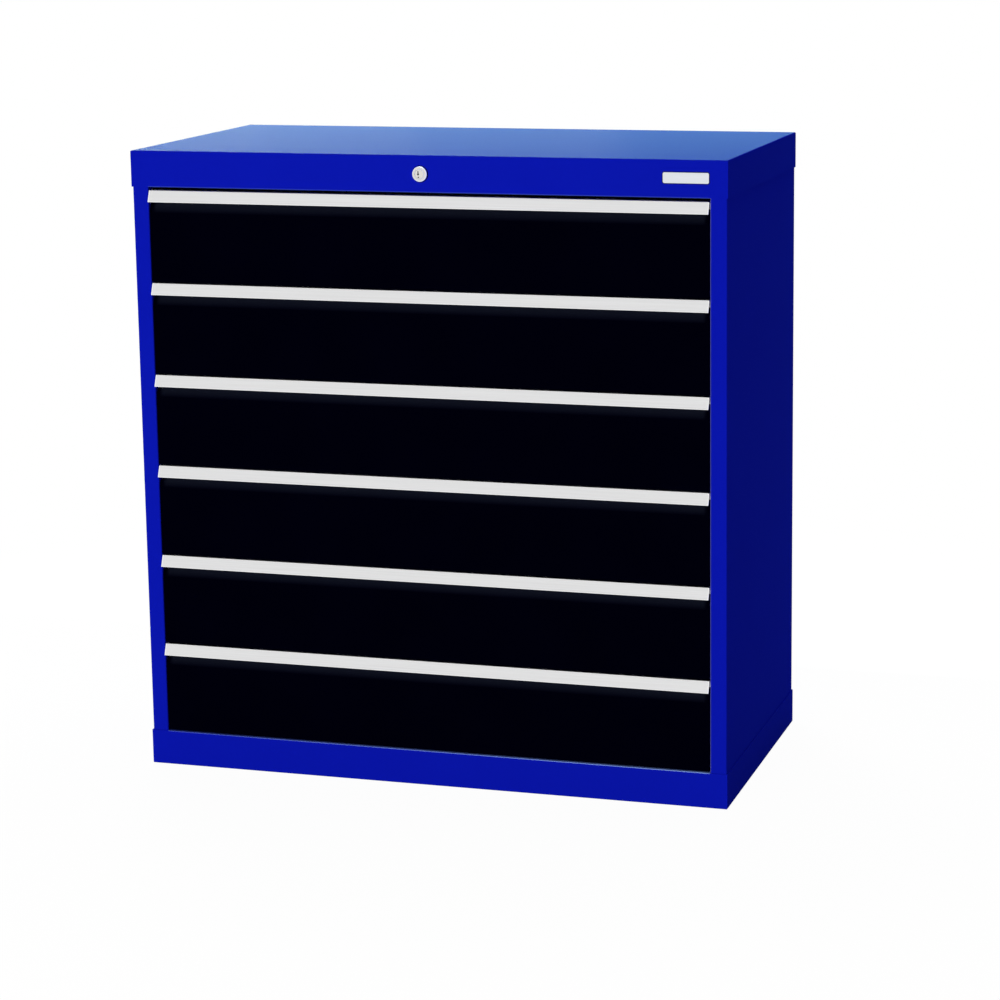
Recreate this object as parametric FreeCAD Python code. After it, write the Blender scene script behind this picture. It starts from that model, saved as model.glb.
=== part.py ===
import FreeCAD, Part
import math
import os

from FreeCAD import Vector

# A free-standing workshop drawer cabinet. A folded steel housing with a cap and a plinth holds
# six drawers on full-extension runners, and one lock in the cap holds all of them shut.
# Sizes are in millimetres. X runs to the right, Y to the back and Z up. The origin is on the
# floor, under the middle of the whole outline with its handles.

# Housing
WIDTH = 980.0            # over the cap and the plinth
DEPTH = 500.0            # over the cap and the plinth
CAP_HEIGHT = 58.0
PLINTH_HEIGHT = 57.5
SHEET = 1.5              # every folded panel of the housing
BEND = 0.5               # inside radius of a fold
SEAM = 0.3               # gap between two parts that are fitted side by side
STILE = 26.5             # face of the upright fold beside the drawers
STILE_RETURN = 15.0      # fold that goes back from the stile's inner edge
REAR_FLANGE = 25.0       # fold of a side panel behind the back panel
LIP_OVERLAP = 6.0        # plinth's lip on the flat of the bottom panel
FLOOR_FLANGE = 30.0      # fold of the plinth on the floor
ANCHOR_RADIUS = 4.5      # hole for a floor bolt
ANCHOR_INSET_X = 60.0    # from the plinth's side to the bolt
ANCHOR_INSET_Y = 18.0    # from the plinth's front or back to the bolt
BACK_SHEET = 1.0
BACK_FLANGE = 12.0
FLOOR_SKIRT = 25.0       # folded edge of the bottom panel

# Drawer pattern
DRAWERS = 6
PITCH = 150.0            # from one front to the next
FRONT_GAP = 2.0          # between two fronts
LOW_GAP = 1.0            # between the plinth and the lowest front
TOP_GAP = 5.5            # between the cap and the top handle
SIDE_GAP = 1.5           # between a front and a stile
SETBACK = 2.0            # fronts lie this far behind the face of the cap

# Drawer front
FRONT_SHEET = 1.2
FRONT_BEND = 1.3
FRONT_DEPTH = 20.0
FRONT_FLANGE = 24.0      # fold that the tray is fixed to
RECESS_DEPTH = 14.0      # hollow for the fingers behind the handle
RECESS_FALL = 38.0       # the hollow starts this far below the top
RECESS_ANGLE = 50.0      # slope of the hollow from the upright
RECESS_ROUND = 22.0      # outside radius where the hollow starts
RECESS_FILLET = 6.0      # radius at the foot of the handle's leg

# Handle, an aluminium extrusion
HANDLE_DROP = 18.5       # height of the sloping face
HANDLE_REACH = 7.5       # its lower edge stands this far in front of its upper edge
HANDLE_WALL = 2.0
HANDLE_TOP = 2.5
HANDLE_LEG = 10.0
HANDLE_ROUND = 0.8

# Tray
TRAY_SHEET = 1.0
TRAY_BEND = 1.5
TRAY_HEIGHT = 112.0
TRAY_LIFT = 12.0         # above the lower edge of the front
TRAY_RIM = 8.0
DIVIDER_PITCH = 150.0    # slots for dividers
DIVIDER_WIDTH = 2.5
DIVIDER_DROP = 16.0      # from the rim to a slot
DIVIDER_LENGTH = 70.0

# Runners
RAIL_HEIGHT = 45.6
RAIL_WIDTH = 13.0
RAIL_SHEET = 1.2
RAIL_PLAY = 0.4          # running gap between two members
RAIL_LIP = 4.0
RAIL_REACH = 9.6         # width of the outer member
RAIL_LENGTH = 450.0
RAIL_RISE = 32.0         # middle of the runner above the tray's floor
RAIL_INSET = 2.0         # from the tray's front to the runner, and from its back to the runner's end
RAIL_STOP = 8.0          # half height of the tab that stops the drawer

# Uprights that carry the runners
UPRIGHT_WIDTH = 40.0
UPRIGHT_FOOT = 12.0
UPRIGHT_FRONT = 65.0     # from the face of the cap to the front upright's middle
UPRIGHT_REAR = 75.0      # from the back of the cap to the rear upright's middle
SLOT_PITCH = 75.0
SLOT_WIDTH = 5.0
SLOT_LENGTH = 16.0

# Lock
LOCK_DROP = 29.0         # from the top of the cap to the lock's axis
BEZEL_RADIUS = 12.8
BEZEL_DEPTH = 3.0
BEZEL_EDGE = 0.8
CASE_RADIUS = 9.5
CASE_LENGTH = 20.0
NUT_WIDTH = 24.0         # across the flats
NUT_DEPTH = 4.0
PLUG_RADIUS = 7.5
PLUG_SUNK = 0.4          # face of the plug behind the face of the bezel
PLUG_TAIL = 0.4          # plug behind the end of the case
KEYHOLE_WIDTH = 2.0
KEYHOLE_HEIGHT = 7.0
KEYHOLE_DEPTH = 6.0
KEYHOLE_SHIFT = 2.0      # keyhole to the left of the axis
RELEASE_RADIUS = 0.8     # hole for the pin that frees the plug
RELEASE_DROP = 5.5       # that hole below the axis
TANG = 6.0               # square end that turns the cam
CAM_THICK = 2.5
CAM_RADIUS = 5.5
CAM_PIN_RADIUS = 2.0
SCREW_RADIUS = 1.8
SCREW_HEAD_WIDTH = 7.0   # across the flats
SCREW_HEAD_HEIGHT = 2.6
SCREW_LENGTH = 10.0
FIT = 0.1                # gap round a fixed round part
PLAY = 0.3               # gap round a part that turns or slides

# Locking bars
LOCK_TRAVEL = 14.0       # of either bar, for a quarter turn of the key
BAR_THICK = 2.0
BAR_GAP = 0.5            # between two layers that slide past each other
BAR_HEIGHT = 11.5        # of the cross bar
BAR_CLEAR = 4.5          # cross bar above the lock's axis
PIN_PLAY = 0.5           # gap beside a pin in its slot
BAR_EDGE = 3.5           # metal left round a slot
DRIVE_PIN_RADIUS = 2.5
DRIVE_INSET = 4.0        # drive pin inside the line of the stiles
LATCH_BAR_WIDTH = 20.0
LATCH_BAR_INSET = 2.3    # latch bar outside the line of the stiles
LATCH_FOOT = 30.0        # end of the latch bar above the lowest front's lower edge
EAR_SHEET = 2.0
EAR_HEIGHT = 10.0
EAR_BEVEL = 3.0          # cut corner that leads the ear in front of its catch
EAR_DROP = 1.5           # ear below its catch
EAR_GAP = 1.5            # ear beside its catch
CATCH_SHEET = 2.0
CATCH_HEIGHT = 16.0
CATCH_LENGTH = 24.0
CATCH_RISE = 72.0        # catch above the tray's floor
CATCH_INSET = 1.5        # catch inside the line of the front's side
GUIDE_SHEET = 1.5
GUIDE_EDGE = 3.0
GUIDE_FOOT = 12.0
CROSS_GUIDES = (0.33, 0.75)   # places along the half width
LATCH_GUIDE_STEP = 2          # drawers from one guide of the latch bar to the next
LATCH_GUIDE_RISE = 45.0       # guide above the drawer's lower edge

# Bare plate
PLATE_WIDTH = 75.0
PLATE_HEIGHT = 18.0
PLATE_THICK = 1.2
PLATE_ROUND = 2.5
PLATE_INSET = 26.5       # from the side of the cap

# Places worked out from the sizes above
HALF = WIDTH / 2
LEAN = HANDLE_REACH / HANDLE_DROP     # slope of the handle's face
# The handle's rounded lower edge stands this far in front of the cap
LIP_OUT = HANDLE_REACH - HANDLE_ROUND * (LEAN + math.hypot(1, LEAN) - 1) - SETBACK
FACE_Y = -(DEPTH - LIP_OUT) / 2
BACK_Y = FACE_Y + DEPTH
OPEN_HALF = HALF - SHEET - STILE
INNER_HALF = HALF - 2 * SHEET
PANEL_FRONT = FACE_Y + SHEET + STILE_RETURN + SEAM
LIP_END = PANEL_FRONT + SHEET + BEND + LIP_OVERLAP
FRONT_HALF = OPEN_HALF - SIDE_GAP
TRAY_HALF = OPEN_HALF - RAIL_WIDTH
FRONT_HEIGHT = PITCH - FRONT_GAP
LOWEST = PLINTH_HEIGHT + LOW_GAP
CAP_Z = LOWEST + DRAWERS * PITCH - FRONT_GAP + TOP_GAP
HEIGHT = CAP_Z + CAP_HEIGHT
FRONT_Y = FACE_Y + SETBACK
TRAY_Y = FRONT_Y + FRONT_DEPTH
RAIL_Y = TRAY_Y + RAIL_INSET
RAIL_END = RAIL_Y + RAIL_LENGTH
TRAY_END = RAIL_END - RAIL_INSET
FLOOR_Z = PLINTH_HEIGHT - SHEET
PANEL_LOW = SHEET + BEND
PANEL_HIGH = HEIGHT - SHEET - BEND
BACK_PANEL_Y = BACK_Y - 2 * SHEET
LOCK_Z = HEIGHT - LOCK_DROP
CASE_END = FACE_Y + CASE_LENGTH
PLUG_END = CASE_END + PLUG_TAIL
CAM_END = PLUG_END + CAM_THICK
CROSS_Y = CAM_END + BAR_GAP
LATCH_Y = CROSS_Y + BAR_THICK + BAR_GAP
EAR_Y = LATCH_Y + BAR_THICK
CATCH_Y = EAR_Y + EAR_SHEET + BAR_GAP
CAM_ARM = LOCK_TRAVEL / 2 / math.sin(math.radians(45))
CROSS_Z = LOCK_Z + BAR_CLEAR
DRIVE_X = OPEN_HALF - DRIVE_INSET
LATCH_X = OPEN_HALF + LATCH_BAR_INSET

# Turns that stand a flat section up: its own X, Y and Z become Y, Z and X, or X, Z and -Y
SECTION_TURNS = {
    "x": FreeCAD.Rotation(Vector(1, 1, 1), 120),
    "y": FreeCAD.Rotation(Vector(1, 0, 0), 90),
    "z": FreeCAD.Rotation(),
}


def drawer_floor(number):
    """Height of the lower edge of a drawer's front. Drawer 1 is the top one."""
    return LOWEST + (DRAWERS - number) * PITCH


def line(start, end):
    return Part.LineSegment(start, end).toShape()


def rounded_edges(points, radii):
    """Edges through the points, with a tangent arc of its own radius at each inner point."""
    corners = [Vector(p[0], p[1], 0) for p in points]
    edges = []
    start = corners[0]
    for i in range(1, len(corners) - 1):
        before = (corners[i - 1] - corners[i]).normalize()
        after = (corners[i + 1] - corners[i]).normalize()
        turn = math.pi - before.getAngle(after)
        radius = radii[i - 1]
        if radius <= 0:
            edges.append(line(start, corners[i]))
            start = corners[i]
            continue
        reach = radius * math.tan(turn / 2)
        inward = (before + after).normalize()
        centre = corners[i] + inward * (radius / math.cos(turn / 2))
        arc_start = corners[i] + before * reach
        arc_end = corners[i] + after * reach
        edges.append(line(start, arc_start))
        edges.append(Part.Arc(arc_start, centre - inward * radius, arc_end).toShape())
        start = arc_end
    edges.append(line(start, corners[-1]))
    return edges


def outline(points, radii=None):
    """A closed section. Its first point stays sharp, and each other one may be rounded."""
    if radii is None:
        radii = [0] * (len(points) - 1)
    return rounded_edges(points + [points[0]], radii)


def offset_points(points, distance):
    """The same run of straight lines, moved to the left of its own direction."""
    normals = []
    for a, b in zip(points, points[1:]):
        length = math.hypot(b[0] - a[0], b[1] - a[1])
        normals.append(((a[1] - b[1]) / length, (b[0] - a[0]) / length))
    moved = []
    for i, point in enumerate(points):
        first = normals[max(i - 1, 0)]
        second = normals[min(i, len(normals) - 1)]
        share = distance / (1 + first[0] * second[0] + first[1] * second[1])
        moved.append((point[0] + (first[0] + second[0]) * share,
                      point[1] + (first[1] + second[1]) * share))
    return moved


def strip(points, thickness, bends):
    """Section of a folded sheet. The points run along one face, with the metal on their left."""
    inner = len(points) - 2
    if not isinstance(bends, (list, tuple)):
        bends = [bends] * inner
    near = []
    far = []
    for i in range(inner):
        a, b, c = points[i:i + 3]
        left = (b[0] - a[0]) * (c[1] - b[1]) - (b[1] - a[1]) * (c[0] - b[0]) > 0
        wide = bends[i] + thickness if bends[i] else 0
        near.append(wide if left else bends[i])
        far.append(bends[i] if left else wide)
    other = offset_points(points, thickness)
    edges = rounded_edges(points, near)
    edges.append(line(Vector(*points[-1], 0), Vector(*other[-1], 0)))
    edges.extend(rounded_edges(other[::-1], far[::-1]))
    edges.append(line(Vector(*other[0], 0), Vector(*points[0], 0)))
    return edges


def prism(edges, axis, low, high):
    """Solid of one section along an axis. Its section is drawn on (Y, Z), (X, Z) or (X, Y)."""
    face = Part.Face(Part.Wire(edges))
    length = high - low
    solid = face.extrude(Vector(0, 0, length))
    solid.translate(Vector(0, 0, -high if axis == "y" else low))
    stand = FreeCAD.Placement(Vector(), SECTION_TURNS[axis])
    solid.Placement = stand.multiply(solid.Placement)
    if solid.Volume < 0:
        solid.reverse()
    return solid


def block(x, y, z):
    """A box between two values on each axis."""
    return Part.makeBox(x[1] - x[0], y[1] - y[0], z[1] - z[0], Vector(x[0], y[0], z[0]))


def rod(radius, x, z, y0, y1):
    """A round bar along Y."""
    return Part.makeCylinder(radius, y1 - y0, Vector(x, y0, z), Vector(0, 1, 0))


def mirrored(shape):
    """The same piece on the other side of the cabinet."""
    return shape.mirror(Vector(0, 0, 0), Vector(1, 0, 0))


def joined(first, *others):
    return first.fuse(list(others)).removeSplitter()


def on_side(shape, side):
    """A piece drawn on the right, or its mirror on the left."""
    return shape if side == "right" else mirrored(shape)


def hood(x, y, z, radius):
    """A box with its four upper edges rounded, and the roundings mitred at the corners."""
    radii = [0, radius, radius]
    along_y = outline([(x[0], z[0]), (x[1], z[0]), (x[1], z[1]), (x[0], z[1])], radii)
    along_x = outline([(y[0], z[0]), (y[1], z[0]), (y[1], z[1]), (y[0], z[1])], radii)
    return prism(along_y, "y", *y).common(prism(along_x, "x", *x))


def pan(x, y, z, sheet, bend):
    """A plate with four walls folded down from it and welded at the corners."""
    hollow = hood((x[0] + sheet, x[1] - sheet), (y[0] + sheet, y[1] - sheet),
                  (z[0] - sheet, z[1] - sheet), bend)
    return hood(x, y, z, bend + sheet).cut(hollow)


def top_cover():
    """Cap over the top of the housing, with the lock's hole in its front."""
    cap = pan((-HALF, HALF), (FACE_Y, BACK_Y), (CAP_Z, HEIGHT), SHEET, BEND)
    lip = block((SEAM - OPEN_HALF, OPEN_HALF - SEAM), (FACE_Y, LIP_END), (CAP_Z, CAP_Z + SHEET))
    hole = rod(CASE_RADIUS + FIT, 0, LOCK_Z, FACE_Y - SHEET, FACE_Y + 2 * SHEET)
    return joined(cap, lip).cut(hole)


def base_plinth():
    """Ring that stands on the floor, with a flange below and a lip under the lowest drawer."""
    tub = pan((-HALF, HALF), (FACE_Y, BACK_Y), (-PLINTH_HEIGHT, 0), SHEET, BEND)
    tub = tub.mirror(Vector(0, 0, 0), Vector(0, 0, 1))
    inset = FLOOR_FLANGE
    window = block((inset - HALF, HALF - inset), (FACE_Y + inset, BACK_Y - inset), (-SHEET, 2 * SHEET))
    lip = block((SEAM - OPEN_HALF, OPEN_HALF - SEAM), (FACE_Y, LIP_END), (FLOOR_Z, PLINTH_HEIGHT))
    plinth = joined(tub.cut(window), lip)
    holes = []
    for x in (ANCHOR_INSET_X - HALF, HALF - ANCHOR_INSET_X):
        for y in (FACE_Y + ANCHOR_INSET_Y, BACK_Y - ANCHOR_INSET_Y):
            holes.append(Part.makeCylinder(ANCHOR_RADIUS, 3 * SHEET, Vector(x, y, -SHEET)))
    return plinth.cut(holes)


def side_panel(side):
    """Side wall, folded into a stile in front and a flange behind."""
    outer = HALF - SHEET
    front = FACE_Y + SHEET
    back = BACK_Y - SHEET
    path = [
        (OPEN_HALF, front + STILE_RETURN),
        (OPEN_HALF, front),
        (outer, front),
        (outer, back),
        (outer - REAR_FLANGE, back),
    ]
    return on_side(prism(strip(path, SHEET, BEND), "z", PANEL_LOW, PANEL_HIGH), side)


def back_panel():
    """Rear wall, in front of the side panels' flanges."""
    x = INNER_HALF - SEAM
    path = [
        (x, BACK_PANEL_Y - BACK_FLANGE),
        (x, BACK_PANEL_Y),
        (-x, BACK_PANEL_Y),
        (-x, BACK_PANEL_Y - BACK_FLANGE),
    ]
    return prism(strip(path, BACK_SHEET, BEND), "z", PANEL_LOW, PANEL_HIGH)


def bottom_panel():
    """Floor of the housing, under the plinth's lip and between the side panels."""
    x = INNER_HALF - SEAM
    back = BACK_PANEL_Y - BACK_FLANGE - SEAM
    return pan((-x, x), (PANEL_FRONT, back), (FLOOR_Z - FLOOR_SKIRT, FLOOR_Z), SHEET, BEND)


def upright(middle_y):
    """Hat section with a column of slots for the runners' hooks, on the right side."""
    half = UPRIGHT_WIDTH / 2
    foot_x = INNER_HALF - SHEET
    path = [
        (foot_x, middle_y + half + UPRIGHT_FOOT),
        (foot_x, middle_y + half),
        (OPEN_HALF, middle_y + half),
        (OPEN_HALF, middle_y - half),
        (foot_x, middle_y - half),
        (foot_x, middle_y - half - UPRIGHT_FOOT),
    ]
    post = prism(strip(path, SHEET, 0), "z", FLOOR_Z, PANEL_HIGH)
    slots = []
    rows = int((CAP_Z - LOWEST) / SLOT_PITCH)
    for row in range(rows):
        low = LOWEST + (row + 0.5) * SLOT_PITCH - SLOT_LENGTH / 2
        slots.append(block((OPEN_HALF - SHEET, OPEN_HALF + 2 * SHEET),
                           (middle_y - SLOT_WIDTH / 2, middle_y + SLOT_WIDTH / 2),
                           (low, low + SLOT_LENGTH)))
    return post.cut(slots)


def uprights(side):
    posts = [upright(FACE_Y + UPRIGHT_FRONT), upright(BACK_Y - UPRIGHT_REAR)]
    return Part.makeCompound([on_side(post, side) for post in posts])


def rail(section, low, high):
    """Left member of a runner. The section gives the distance from the upright, and the height."""
    points = [(u - OPEN_HALF, z) for u, z in section]
    return prism(strip(points, RAIL_SHEET, 0), "y", low, high)


def both_sides(member):
    return Part.makeCompound([member, mirrored(member)])


def rail_middle(number):
    return drawer_floor(number) + TRAY_LIFT + RAIL_RISE


def channel(z, half, start, reach):
    """Section of a member with lips, open towards the drawer."""
    return [
        (reach, z + half - RAIL_LIP),
        (reach, z + half),
        (start, z + half),
        (start, z - half),
        (reach, z - half),
        (reach, z - half + RAIL_LIP),
    ]


def outer_rails(number):
    """Members fixed to the uprights. A tab at the back end stops the drawer."""
    z = rail_middle(number)
    member = rail(channel(z, RAIL_HEIGHT / 2, 0, RAIL_REACH), RAIL_Y, RAIL_END)
    tab = block((-OPEN_HALF, RAIL_REACH - OPEN_HALF), (RAIL_END - RAIL_SHEET, RAIL_END),
                (z - RAIL_STOP, z + RAIL_STOP))
    return both_sides(joined(member, tab))


def middle_rails(number):
    """Members that run inside the outer ones."""
    step = RAIL_SHEET + RAIL_PLAY
    section = channel(rail_middle(number), RAIL_HEIGHT / 2 - step, step, RAIL_REACH - step)
    return both_sides(rail(section, RAIL_Y, RAIL_END - RAIL_SHEET - PLAY))


def inner_rails(number):
    """Members fixed to the tray, hooked inside the middle ones."""
    z = rail_middle(number)
    step = RAIL_SHEET + RAIL_PLAY
    foot = 2 * step + RAIL_SHEET
    hook = RAIL_HEIGHT / 2 - 2 * step
    leg = RAIL_HEIGHT / 2 - step - RAIL_LIP - RAIL_PLAY
    section = [
        (foot, z - hook),
        (foot, z - leg),
        (RAIL_WIDTH, z - leg),
        (RAIL_WIDTH, z + leg),
        (foot, z + leg),
        (foot, z + hook),
    ]
    return both_sides(rail(section, RAIL_Y, RAIL_END - RAIL_SHEET - PLAY))


def tray(number):
    """Folded tray with an inward rim, and slots for dividers in its front and back walls."""
    low = drawer_floor(number) + TRAY_LIFT
    high = low + TRAY_HEIGHT
    path = [
        (TRAY_RIM - TRAY_HALF, high),
        (-TRAY_HALF, high),
        (-TRAY_HALF, low),
        (TRAY_HALF, low),
        (TRAY_HALF, high),
        (TRAY_HALF - TRAY_RIM, high),
    ]
    trough = prism(strip(path, TRAY_SHEET, [0, TRAY_BEND, TRAY_BEND, 0]), "y", TRAY_Y, TRAY_END)
    x = TRAY_HALF - TRAY_SHEET / 2
    base = low + TRAY_SHEET / 2
    front = strip([(TRAY_Y + TRAY_RIM, high), (TRAY_Y, high), (TRAY_Y, base)], TRAY_SHEET, 0)
    back = strip([(TRAY_END, base), (TRAY_END, high), (TRAY_END - TRAY_RIM, high)], TRAY_SHEET, 0)
    solid = joined(trough, prism(front, "x", -x, x), prism(back, "x", -x, x))
    return solid.cut(divider_slots(high))


def divider_slots(high):
    """Tools for the slots, spread evenly about the middle."""
    count = int((2 * TRAY_HALF - DIVIDER_PITCH / 2) / DIVIDER_PITCH)
    slots = []
    for i in range(count):
        x = (i - (count - 1) / 2) * DIVIDER_PITCH
        for y in (TRAY_Y, TRAY_END - TRAY_SHEET):
            slots.append(block((x - DIVIDER_WIDTH / 2, x + DIVIDER_WIDTH / 2),
                               (y - TRAY_SHEET, y + 2 * TRAY_SHEET),
                               (high - DIVIDER_DROP - DIVIDER_LENGTH, high - DIVIDER_DROP)))
    return slots


def recess_corner():
    """Drop, below the top of a front, of the corner that the hollow's big radius rounds off."""
    return RECESS_FALL - RECESS_ROUND * math.tan(math.radians(RECESS_ANGLE / 2))


def drawer_front(number):
    """Folded front, hollowed below the handle, with side walls and flanges for the tray."""
    low = drawer_floor(number)
    high = low + FRONT_HEIGHT
    back = FRONT_Y + FRONT_DEPTH
    slope = math.tan(math.radians(RECESS_ANGLE))
    path = [
        (back, high - HANDLE_TOP),
        (FRONT_Y + RECESS_DEPTH, high - HANDLE_TOP),
        (FRONT_Y + RECESS_DEPTH, high - recess_corner() + RECESS_DEPTH / slope),
        (FRONT_Y, high - recess_corner()),
        (FRONT_Y, low),
        (back, low),
    ]
    bends = [0, RECESS_FILLET, RECESS_ROUND - FRONT_SHEET, FRONT_BEND]
    skin = prism(strip(path, FRONT_SHEET, bends), "x", -FRONT_HALF, FRONT_HALF)
    radii = [0, RECESS_FILLET, RECESS_ROUND, FRONT_BEND + FRONT_SHEET, 0]
    wall = prism(outline(path, radii), "x", FRONT_HALF - FRONT_SHEET, FRONT_HALF)
    flange = block((FRONT_HALF - FRONT_FLANGE, FRONT_HALF), (back - FRONT_SHEET, back),
                   (low, high - HANDLE_TOP))
    side = joined(wall, flange)
    return joined(skin, side, mirrored(side))


def handle(number):
    """Grip rail along the top of a front: a top, a sloping face with a hold behind it, and a leg."""
    top = drawer_floor(number) + FRONT_HEIGHT
    wall = HANDLE_WALL * math.hypot(1, LEAN)
    under = top - HANDLE_TOP
    leg = FRONT_Y + RECESS_DEPTH
    path = [
        (FRONT_Y + FRONT_DEPTH, top),
        (FRONT_Y, top),
        (FRONT_Y - HANDLE_REACH, top - HANDLE_DROP),
        (FRONT_Y - HANDLE_REACH + wall, top - HANDLE_DROP),
        (FRONT_Y - LEAN * HANDLE_TOP + wall, under),
        (leg - HANDLE_WALL, under),
        (leg - HANDLE_WALL, under - HANDLE_LEG),
        (leg, under - HANDLE_LEG),
        (leg, under),
        (FRONT_Y + FRONT_DEPTH, under),
    ]
    radii = [HANDLE_ROUND, HANDLE_ROUND, 0, HANDLE_ROUND, 0, 0, 0, 0, 0]
    return prism(outline(path, radii), "x", -FRONT_HALF, FRONT_HALF)


def catch_foot(number):
    """Height of the lower edge of a drawer's catch."""
    return drawer_floor(number) + TRAY_LIFT + CATCH_RISE


def catch(number):
    """Bracket on the tray's right side whose tab stands behind an ear of the latch bar."""
    low = catch_foot(number)
    z = (low, low + CATCH_HEIGHT)
    plate = block((TRAY_HALF, TRAY_HALF + CATCH_SHEET), (CATCH_Y, CATCH_Y + CATCH_LENGTH), z)
    tab = block((TRAY_HALF, FRONT_HALF - CATCH_INSET), (CATCH_Y, CATCH_Y + CATCH_SHEET), z)
    return joined(plate, tab)


def name_plate():
    """Bare plate on the front of the cap."""
    x = HALF - PLATE_INSET - PLATE_WIDTH
    low = LOCK_Z - PLATE_HEIGHT / 2
    plate = block((x, x + PLATE_WIDTH), (FACE_Y - PLATE_THICK, FACE_Y), (low, low + PLATE_HEIGHT))
    corners = [e for e in plate.Edges if e.BoundBox.YLength > PLATE_THICK / 2]
    return plate.makeFillet(PLATE_ROUND, corners)


def lock_case():
    """Sleeve of the lock, with its round bezel in front of the cap."""
    bezel = rod(BEZEL_RADIUS, 0, LOCK_Z, FACE_Y - BEZEL_DEPTH, FACE_Y)
    rim = [e for e in bezel.Edges if e.BoundBox.YMax < FACE_Y - BEZEL_DEPTH / 2]
    bezel = bezel.makeChamfer(BEZEL_EDGE, rim)
    sleeve = rod(CASE_RADIUS, 0, LOCK_Z, FACE_Y, CASE_END)
    bore = rod(PLUG_RADIUS + PLAY, 0, LOCK_Z, FACE_Y - 2 * BEZEL_DEPTH, CASE_END + BEZEL_DEPTH)
    return joined(bezel, sleeve).cut(bore)


def hexagon(width, y0, y1):
    """Hexagonal bar on the lock's axis, by its width across the flats."""
    reach = width / 2 / math.cos(math.radians(30))
    corners = []
    for i in range(6):
        angle = math.radians(60 * i)
        corners.append((reach * math.cos(angle), LOCK_Z + reach * math.sin(angle)))
    return prism(outline(corners), "y", y0, y1)


def lock_nut():
    """Hexagon nut that clamps the sleeve to the cap."""
    start = FACE_Y + SHEET
    nut = hexagon(NUT_WIDTH, start, start + NUT_DEPTH)
    return nut.cut(rod(CASE_RADIUS + FIT, 0, LOCK_Z, start - SHEET, start + 2 * NUT_DEPTH))


def lock_plug():
    """Turning core with the keyhole in front and a square tang behind."""
    front = FACE_Y - BEZEL_DEPTH + PLUG_SUNK
    core = rod(PLUG_RADIUS, 0, LOCK_Z, front, PLUG_END)
    tang = block((-TANG / 2, TANG / 2), (PLUG_END, CAM_END), (LOCK_Z - TANG / 2, LOCK_Z + TANG / 2))
    low, high = front - PLUG_SUNK, front + KEYHOLE_DEPTH
    keyhole = block((-KEYHOLE_SHIFT - KEYHOLE_WIDTH / 2, -KEYHOLE_SHIFT + KEYHOLE_WIDTH / 2), (low, high),
                    (LOCK_Z - KEYHOLE_HEIGHT / 2, LOCK_Z + KEYHOLE_HEIGHT / 2))
    release = rod(RELEASE_RADIUS, 0, LOCK_Z - RELEASE_DROP, low, high)
    bore = rod(SCREW_RADIUS + FIT, 0, LOCK_Z, CAM_END - SCREW_LENGTH - FIT, CAM_END + FIT)
    return joined(core, tang).cut([keyhole, release, bore])


def lock_cam():
    """Arm on the tang, up and to the left at rest, with the pin that drives the cross bar."""
    arm = Vector(-CAM_ARM * math.sin(math.radians(45)), 0, CAM_ARM * math.cos(math.radians(45)))
    hub = rod(CAM_RADIUS, 0, LOCK_Z, PLUG_END, CAM_END)
    end = rod(CAM_RADIUS, arm.x, LOCK_Z + arm.z, PLUG_END, CAM_END)
    web = block((-CAM_RADIUS, CAM_RADIUS), (PLUG_END, CAM_END), (LOCK_Z, LOCK_Z + CAM_ARM))
    web.rotate(Vector(0, 0, LOCK_Z), Vector(0, 1, 0), -45)
    pin = rod(CAM_PIN_RADIUS, arm.x, LOCK_Z + arm.z, PLUG_END, CROSS_Y + BAR_THICK + BAR_GAP)
    square = block((-TANG / 2, TANG / 2), (PLUG_END - FIT, CAM_END + FIT),
                   (LOCK_Z - TANG / 2, LOCK_Z + TANG / 2))
    return joined(hub, end, web, pin).cut(square)


def cam_screw():
    """Screw that holds the cam on the tang."""
    shank = rod(SCREW_RADIUS, 0, LOCK_Z, CAM_END - SCREW_LENGTH, CAM_END)
    return joined(hexagon(SCREW_HEAD_WIDTH, CAM_END, CAM_END + SCREW_HEAD_HEIGHT), shank)


def slanted_slot(x, z, radius, travel):
    """Tool for a slot that falls to the right at 45 degrees and clears a pin by the pin's play."""
    low, high = CROSS_Y - BAR_THICK, CROSS_Y + 2 * BAR_THICK
    width = radius + PIN_PLAY
    ends = [rod(width, x, z, low, high), rod(width, x - travel, z + travel, low, high)]
    length = travel * math.sqrt(2)
    middle = block((x - width, x + width), (low, high), (z, z + length))
    middle.rotate(Vector(x, 0, z), Vector(0, 1, 0), -45)
    return joined(middle, *ends)


def cross_bar():
    """Bar from the lock to the latch bar: a fork over the cam's pin, and a slanted slot."""
    pin_x = -LOCK_TRAVEL / 2
    fork = CAM_PIN_RADIUS + PIN_PLAY
    reach = DRIVE_PIN_RADIUS + PIN_PLAY + BAR_EDGE
    y = (CROSS_Y, CROSS_Y + BAR_THICK)
    bar = block((pin_x - fork - BAR_EDGE, DRIVE_X), y, (CROSS_Z, CROSS_Z + BAR_HEIGHT))
    head = block((DRIVE_X - LOCK_TRAVEL - reach, DRIVE_X + reach), y,
                 (LOCK_Z - reach, LOCK_Z + LOCK_TRAVEL + reach))
    notch = block((pin_x - fork, pin_x + fork), (y[0] - BAR_THICK, y[1] + BAR_THICK),
                  (CROSS_Z - BAR_THICK, LOCK_Z + CAM_ARM + fork))
    slot = slanted_slot(DRIVE_X, LOCK_Z, DRIVE_PIN_RADIUS, LOCK_TRAVEL)
    return joined(bar, head).cut([notch, slot])


def latch_bar():
    """Upright strip behind the right stile."""
    top = LOCK_Z + DRIVE_PIN_RADIUS + BAR_EDGE
    return block((LATCH_X, LATCH_X + LATCH_BAR_WIDTH), (LATCH_Y, LATCH_Y + BAR_THICK),
                 (LOWEST + LATCH_FOOT, top))


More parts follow.
